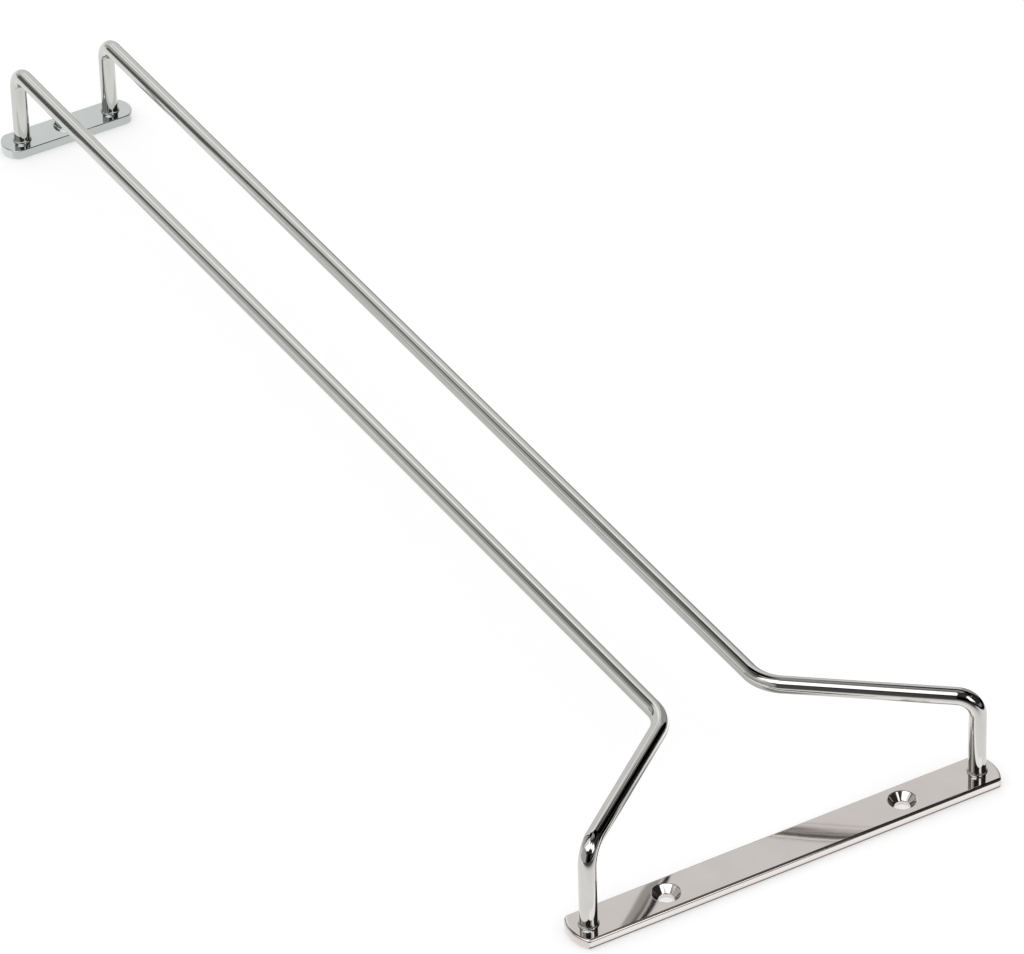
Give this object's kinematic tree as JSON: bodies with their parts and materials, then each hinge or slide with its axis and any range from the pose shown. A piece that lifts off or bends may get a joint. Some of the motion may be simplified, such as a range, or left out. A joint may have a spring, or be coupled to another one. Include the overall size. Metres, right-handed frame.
{
  "type": "hanging wine glass rack",
  "caption": "Under-shelf rack for stemmed glasses: bent chrome wire rails with a flared mouth, welded to countersunk screw plates at front and rear.",
  "frame": {"origin": "middle of the part's box on the plane of both plates' mounting faces (Z = 0)", "axes": "+Y from the front plate at the wide mouth to the rear plate, +X across to the right, +Z away from the surface that the plates are screwed to, so in use +Z points down"},
  "size_m": [0.127, 0.4064, 0.029],
  "materials": {
    "wire": "polished bright chrome plate on bent steel wire",
    "plate": "polished bright chrome plate on flat steel bar, edges rounded by polishing",
    "weld": "chrome plate over small weld fillets, slightly duller than the wire"
  },
  "bodies": {
    "root": {"left_rail": "wire", "right_rail": "wire", "front_plate": "plate", "rear_plate": "plate", "front_left_weld": "weld", "front_right_weld": "weld", "rear_left_weld": "weld", "rear_right_weld": "weld"}
  },
  "joints": []
}
